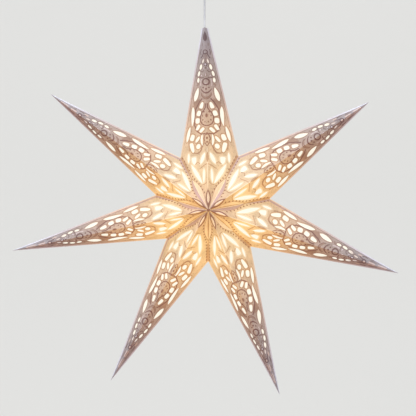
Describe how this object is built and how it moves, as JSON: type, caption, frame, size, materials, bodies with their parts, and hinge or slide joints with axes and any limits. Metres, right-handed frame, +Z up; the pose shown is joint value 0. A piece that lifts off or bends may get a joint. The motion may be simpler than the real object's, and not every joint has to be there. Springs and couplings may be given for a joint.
{
  "type": "paper star lantern",
  "caption": "Lit pendant lantern: a folded, cut-paper star with long rays, hung on its lamp cord from a round ceiling cup.",
  "frame": {"origin": "the ceiling, at the middle of the bracket's two screw holes, where the lantern is fastened", "axes": "+Z up into the ceiling, the star faces -Y, and +X is to the right as seen from the front"},
  "size_m": [0.5773, 0.1476, 0.6773],
  "materials": {
    "cut_paper": "matt, printed and cut",
    "white_metal": "satin",
    "zinc_steel": "zinc plated",
    "nickel": "nickel plated",
    "white_plastic": "smooth",
    "ivory_plastic": "moulded",
    "brass": "bright",
    "cord_sheath": "soft sheath",
    "core_insulation": "soft",
    "opal_glass": "opal",
    "clear_glass": "clear",
    "bulb_metal": "pressed",
    "black_insulator": "glassy",
    "filament": "phosphor",
    "beech": "sanded",
    "cotton": "twisted"
  },
  "bodies": {
    "ceiling_set": {"ceiling_bracket": "zinc_steel", "terminal_block": "white_plastic", "terminal_screws": "brass", "cord_in_cup": "cord_sheath", "cup_cores": "core_insulation", "ceiling_cup": "white_metal", "cup_side_screws": "zinc_steel", "cup_grip": "white_plastic", "cup_grip_nut": "zinc_steel", "cup_grip_screw": "zinc_steel"},
    "cord_upper": {"cord_bend": "cord_sheath"},
    "lamp_set": {"flex_cord": "cord_sheath", "cord_stop": "nickel", "cord_stop_screw": "zinc_steel", "holder_cord_grip": "white_plastic", "holder_grip_screw": "zinc_steel", "holder_dome": "white_plastic", "holder_skirt": "white_plastic", "holder_ring": "white_plastic", "holder_core": "ivory_plastic", "holder_terminal_screws": "brass", "holder_cores": "core_insulation", "holder_screw_shell": "brass", "holder_contact": "brass"},
    "bulb": {"bulb_glass": "opal_glass", "bulb_screw_cap": "bulb_metal", "bulb_insulator": "black_insulator", "bulb_tip_contact": "bulb_metal", "bulb_stem": "clear_glass", "bulb_filaments": "filament"},
    "star_hanger": {"tip_cone": "beech"},
    "ray_1_front_left": {"ray_1_front_left": "cut_paper"},
    "ray_2_front_right": {"ray_2_front_right": "cut_paper"},
    "ray_2_front_left": {"ray_2_front_left": "cut_paper"},
    "ray_3_front_right": {"ray_3_front_right": "cut_paper"},
    "ray_3_front_left": {"ray_3_front_left": "cut_paper"},
    "ray_4_front_right": {"ray_4_front_right": "cut_paper"},
    "ray_4_front_left": {"ray_4_front_left": "cut_paper"},
    "ray_5_front_right": {"ray_5_front_right": "cut_paper"},
    "ray_5_front_left": {"ray_5_front_left": "cut_paper"},
    "ray_6_front_right": {"ray_6_front_right": "cut_paper"},
    "ray_6_front_left": {"ray_6_front_left": "cut_paper"},
    "ray_7_front_right": {"ray_7_front_right": "cut_paper"},
    "ray_7_front_left": {"ray_7_front_left": "cut_paper"},
    "ray_1_front_right": {"ray_1_front_right": "cut_paper"},
    "ray_1_back_left": {"ray_1_back_left": "cut_paper"},
    "ray_2_back_right": {"ray_2_back_right": "cut_paper"},
    "ray_2_back_left": {"ray_2_back_left": "cut_paper"},
    "ray_3_back_right": {"ray_3_back_right": "cut_paper"},
    "ray_3_back_left": {"ray_3_back_left": "cut_paper"},
    "ray_4_back_right": {"ray_4_back_right": "cut_paper"},
    "ray_4_back_left": {"ray_4_back_left": "cut_paper"},
    "ray_5_back_right": {"ray_5_back_right": "cut_paper"},
    "ray_5_back_left": {"ray_5_back_left": "cut_paper"},
    "ray_6_back_right": {"ray_6_back_right": "cut_paper"},
    "ray_6_back_left": {"ray_6_back_left": "cut_paper"},
    "ray_7_back_right": {"ray_7_back_right": "cut_paper"},
    "ray_7_back_left": {"ray_7_back_left": "cut_paper", "seam_tie": "cotton"},
    "ray_1_back_right": {"ray_1_back_right": "cut_paper"}
  },
  "joints": [
    {"name": "swing_sideways", "type": "hinge", "parent": "ceiling_set", "child": "cord_upper", "pos_m": [0, 0, -0.0635], "axis": [0, 1, 0], "range_deg": [-20, 20]},
    {"name": "swing_front_back", "type": "hinge", "parent": "cord_upper", "child": "lamp_set", "pos_m": [0, 0, -0.0755], "axis": [1, 0, 0], "range_deg": [-20, 20]},
    {"name": "bulb_unscrew", "type": "slide", "parent": "lamp_set", "child": "bulb", "axis": [0, 0, -1], "range_m": [0, 0.022]},
    {"name": "star_turn", "type": "hinge", "parent": "lamp_set", "child": "star_hanger", "pos_m": [0, 0, -0.1395], "axis": [0, 0, 1], "continuous": true},
    {"name": "star_fan", "type": "hinge", "parent": "star_hanger", "child": "ray_1_front_left", "pos_m": [-0.00048, 0, -0.1015], "axis": [-0.1484, -0.2451, -0.9581], "range_deg": [0, 4.29]},
    {"name": "ridge_fold_ray_1_front_right", "type": "hinge", "parent": "ray_1_front_left", "child": "ray_1_front_right", "pos_m": [0.00266, -0.0375, -0.25147], "axis": [-0.0203, 0.2425, 0.9699], "range_deg": [0, 7.8]},
    {"name": "valley_fold_ray_2_front_right", "type": "hinge", "parent": "ray_1_front_left", "child": "ray_2_front_right", "pos_m": [-0.01546, -0.0375, -0.36178], "axis": [-0.363, 0.6402, 0.677], "range_deg": [0, 9.25]},
    {"name": "ridge_fold_ray_2_front_left", "type": "hinge", "parent": "ray_2_front_right", "child": "ray_2_front_left", "pos_m": [-0.11424, -0.0375, -0.31326], "axis": [0.7815, -0.2441, -0.5741], "range_deg": [0, 10.85]},
    {"name": "valley_fold_ray_3_front_right", "type": "hinge", "parent": "ray_2_front_left", "child": "ray_3_front_right", "pos_m": [-0.03411, -0.0375, -0.39007], "axis": [-0.7136, 0.6704, 0.2033], "range_deg": [0, 12.96]},
    {"name": "ridge_fold_ray_3_front_left", "type": "hinge", "parent": "ray_3_front_right", "child": "ray_3_front_left", "pos_m": [-0.14314, -0.0375, -0.43228], "axis": [0.9508, -0.2394, 0.1969], "range_deg": [0, 11.14]},
    {"name": "valley_fold_ray_4_front_right", "type": "hinge", "parent": "ray_3_front_left", "child": "ray_4_front_right", "pos_m": [-0.02593, -0.0375, -0.42325], "axis": [-0.5904, 0.6977, -0.4057], "range_deg": [0, 14.71]},
    {"name": "ridge_fold_ray_4_front_left", "type": "hinge", "parent": "ray_4_front_right", "child": "ray_4_front_left", "pos_m": [-0.06845, -0.0375, -0.53108], "axis": [0.482, -0.2435, 0.8417], "range_deg": [0, 10.42]},
    {"name": "valley_fold_ray_5_front_right", "type": "hinge", "parent": "ray_4_front_left", "child": "ray_5_front_right", "pos_m": [0.00566, -0.0375, -0.44044], "axis": [-0.0025, 0.6931, -0.7208], "range_deg": [0, 13.85]},
    {"name": "ridge_fold_ray_5_front_left", "type": "hinge", "parent": "ray_5_front_right", "child": "ray_5_front_left", "pos_m": [0.06002, -0.0375, -0.54194], "axis": [-0.3493, -0.2416, 0.9053], "range_deg": [0, 11.26]},
    {"name": "valley_fold_ray_6_front_right", "type": "hinge", "parent": "ray_5_front_left", "child": "ray_6_front_right", "pos_m": [0.03793, -0.0375, -0.42927], "axis": [0.5668, 0.6616, -0.4909], "range_deg": [0, 11.31]},
    {"name": "ridge_fold_ray_6_front_left", "type": "hinge", "parent": "ray_6_front_right", "child": "ray_6_front_left", "pos_m": [0.15041, -0.0375, -0.44954], "axis": [-0.9214, -0.2389, 0.3065], "range_deg": [0, 9.26]},
    {"name": "valley_fold_ray_7_front_right", "type": "hinge", "parent": "ray_6_front_left", "child": "ray_7_front_right", "pos_m": [0.05252, -0.0375, -0.39287], "axis": [0.772, 0.6196, 0.1417], "range_deg": [0, 8.39]},
    {"name": "ridge_fold_ray_7_front_left", "type": "hinge", "parent": "ray_7_front_right", "child": "ray_7_front_left", "pos_m": [0.12794, -0.0375, -0.31937], "axis": [-0.8043, -0.2469, -0.5405], "range_deg": [0, 8.33]},
    {"name": "side_fold_ray_1_back_left", "type": "hinge", "parent": "ray_1_front_left", "child": "ray_1_back_left", "pos_m": [-0.01861, 0, -0.21181], "axis": [0.1621, 0, 0.9868], "range_deg": [0, 8.31]},
    {"name": "side_fold_ray_2_back_right", "type": "hinge", "parent": "ray_2_front_right", "child": "ray_2_back_right", "pos_m": [-0.13551, 0, -0.2736], "axis": [0.8976, 0, -0.4409], "range_deg": [0, 8.74]},
    {"name": "side_fold_ray_2_back_left", "type": "hinge", "parent": "ray_2_front_left", "child": "ray_2_back_left", "pos_m": [-0.15415, 0, -0.30189], "axis": [-0.7219, 0, 0.692], "range_deg": [0, 12.48]},
    {"name": "side_fold_ray_3_back_right", "type": "hinge", "parent": "ray_3_front_right", "child": "ray_3_back_right", "pos_m": [-0.18305, 0, -0.42091], "axis": [0.9325, 0, 0.3611], "range_deg": [0, 9.22]},
    {"name": "side_fold_ray_3_back_left", "type": "hinge", "parent": "ray_3_front_left", "child": "ray_3_back_left", "pos_m": [-0.17487, 0, -0.45409], "axis": [-0.997, 0, -0.0769], "range_deg": [0, 12.57]},
    {"name": "side_fold_ray_4_back_right", "type": "hinge", "parent": "ray_4_front_right", "child": "ray_4_back_right", "pos_m": [-0.10018, 0, -0.55289], "axis": [0.3668, 0, 0.9303], "range_deg": [0, 10.99]},
    {"name": "side_fold_ray_4_back_left", "type": "hinge", "parent": "ray_4_front_left", "child": "ray_4_back_left", "pos_m": [-0.06858, 0, -0.57008], "axis": [-0.633, 0, -0.7742], "range_deg": [0, 9.4]},
    {"name": "side_fold_ray_5_back_right", "type": "hinge", "parent": "ray_5_front_right", "child": "ray_5_back_right", "pos_m": [0.05988, 0, -0.58094], "axis": [-0.4721, 0, 0.8816], "range_deg": [0, 13.26]},
    {"name": "side_fold_ray_5_back_left", "type": "hinge", "parent": "ray_5_front_left", "child": "ray_5_back_left", "pos_m": [0.09214, 0, -0.56977], "axis": [0.1924, 0, -0.9813], "range_deg": [0, 8.76]},
    {"name": "side_fold_ray_6_back_right", "type": "hinge", "parent": "ray_6_front_right", "child": "ray_6_back_right", "pos_m": [0.18253, 0, -0.47737], "axis": [-0.9841, 0, 0.1774], "range_deg": [0, 10.89]},
    {"name": "side_fold_ray_6_back_left", "type": "hinge", "parent": "ray_6_front_left", "child": "ray_6_back_left", "pos_m": [0.19713, 0, -0.44097], "axis": [0.8654, 0, -0.5011], "range_deg": [0, 7.31]},
    {"name": "side_fold_ray_7_back_right", "type": "hinge", "parent": "ray_7_front_right", "child": "ray_7_back_right", "pos_m": [0.17466, 0, -0.31079], "axis": [-0.7162, 0, -0.6979], "range_deg": [0, 8.65]},
    {"name": "side_fold_ray_7_back_left", "type": "hinge", "parent": "ray_7_front_left", "child": "ray_7_back_left", "pos_m": [0.1508, 0, -0.2783], "axis": [0.9243, 0, 0.3817], "range_deg": [0, 7.75]},
    {"name": "side_fold_ray_1_back_right", "type": "hinge", "parent": "ray_1_front_right", "child": "ray_1_back_right", "pos_m": [0.02552, 0, -0.21041], "axis": [0.2322, 0, -0.9727], "range_deg": [0, 7.07]}
  ],
  "couplings": [
    {"joint": "ridge_fold_ray_1_front_right", "follows": "star_fan", "ratio": 1.8192},
    {"joint": "valley_fold_ray_2_front_right", "follows": "star_fan", "ratio": 2.1576},
    {"joint": "ridge_fold_ray_2_front_left", "follows": "star_fan", "ratio": 2.5311},
    {"joint": "valley_fold_ray_3_front_right", "follows": "star_fan", "ratio": 3.0224},
    {"joint": "ridge_fold_ray_3_front_left", "follows": "star_fan", "ratio": 2.5981},
    {"joint": "valley_fold_ray_4_front_right", "follows": "star_fan", "ratio": 3.4301},
    {"joint": "ridge_fold_ray_4_front_left", "follows": "star_fan", "ratio": 2.4305},
    {"joint": "valley_fold_ray_5_front_right", "follows": "star_fan", "ratio": 3.229},
    {"joint": "ridge_fold_ray_5_front_left", "follows": "star_fan", "ratio": 2.6259},
    {"joint": "valley_fold_ray_6_front_right", "follows": "star_fan", "ratio": 2.6386},
    {"joint": "ridge_fold_ray_6_front_left", "follows": "star_fan", "ratio": 2.1604},
    {"joint": "valley_fold_ray_7_front_right", "follows": "star_fan", "ratio": 1.9566},
    {"joint": "ridge_fold_ray_7_front_left", "follows": "star_fan", "ratio": 1.9433},
    {"joint": "side_fold_ray_1_back_left", "follows": "star_fan", "ratio": 1.9387},
    {"joint": "side_fold_ray_2_back_right", "follows": "star_fan", "ratio": 2.0377},
    {"joint": "side_fold_ray_2_back_left", "follows": "star_fan", "ratio": 2.9116},
    {"joint": "side_fold_ray_3_back_right", "follows": "star_fan", "ratio": 2.1493},
    {"joint": "side_fold_ray_3_back_left", "follows": "star_fan", "ratio": 2.9325},
    {"joint": "side_fold_ray_4_back_right", "follows": "star_fan", "ratio": 2.5631},
    {"joint": "side_fold_ray_4_back_left", "follows": "star_fan", "ratio": 2.1926},
    {"joint": "side_fold_ray_5_back_right", "follows": "star_fan", "ratio": 3.0918},
    {"joint": "side_fold_ray_5_back_left", "follows": "star_fan", "ratio": 2.0421},
    {"joint": "side_fold_ray_6_back_right", "follows": "star_fan", "ratio": 2.5394},
    {"joint": "side_fold_ray_6_back_left", "follows": "star_fan", "ratio": 1.704},
    {"joint": "side_fold_ray_7_back_right", "follows": "star_fan", "ratio": 2.0164},
    {"joint": "side_fold_ray_7_back_left", "follows": "star_fan", "ratio": 1.806},
    {"joint": "side_fold_ray_1_back_right", "follows": "star_fan", "ratio": 1.6496}
  ]
}
